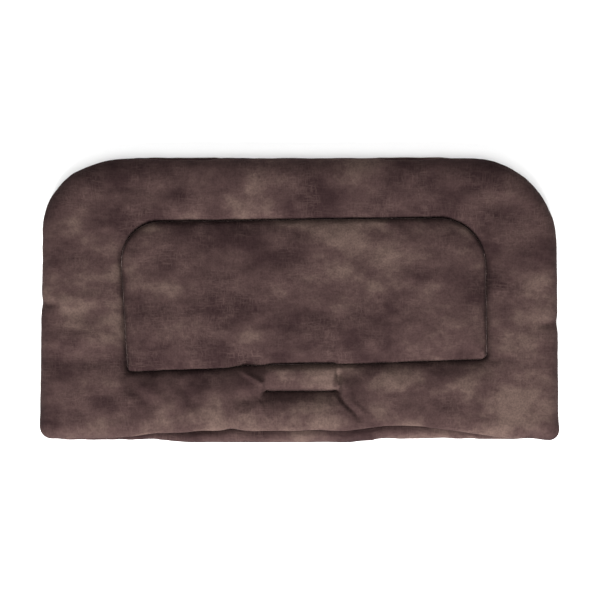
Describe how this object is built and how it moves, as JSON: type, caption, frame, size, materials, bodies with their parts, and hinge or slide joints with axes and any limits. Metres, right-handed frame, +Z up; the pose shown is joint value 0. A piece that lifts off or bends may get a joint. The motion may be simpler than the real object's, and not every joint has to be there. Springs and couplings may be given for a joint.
{
  "type": "pet cushion bed",
  "caption": "Flat wadded velvet cushion bed with a set-in quilted centre panel, rounded far corners and a strap slot near the front edge.",
  "frame": {"origin": "centre of the underside's bounding box, on the surface the pad lies on", "axes": "+X along the pad's width, +Y towards the end with the large round corners, +Z up through the pad"},
  "size_m": [0.4546, 0.25, 0.026],
  "materials": {
    "velvet": "crushed velvet, taupe brown",
    "wadding": "bonded polyester fibre",
    "thread": "satin spun thread"
  },
  "bodies": {
    "root": {"top_border_cover": "velvet", "centre_panel_cover": "velvet", "back_cover": "velvet", "slot_facing": "velvet", "border_wadding": "wadding", "centre_wadding": "wadding", "base_wadding": "wadding", "perimeter_seam_thread": "thread", "closing_seam_thread": "thread", "panel_seam_thread": "thread", "quilting_needle_thread": "thread", "quilting_bobbin_thread": "thread", "slot_top_seam_thread": "thread", "slot_bottom_seam_thread": "thread"}
  },
  "joints": []
}
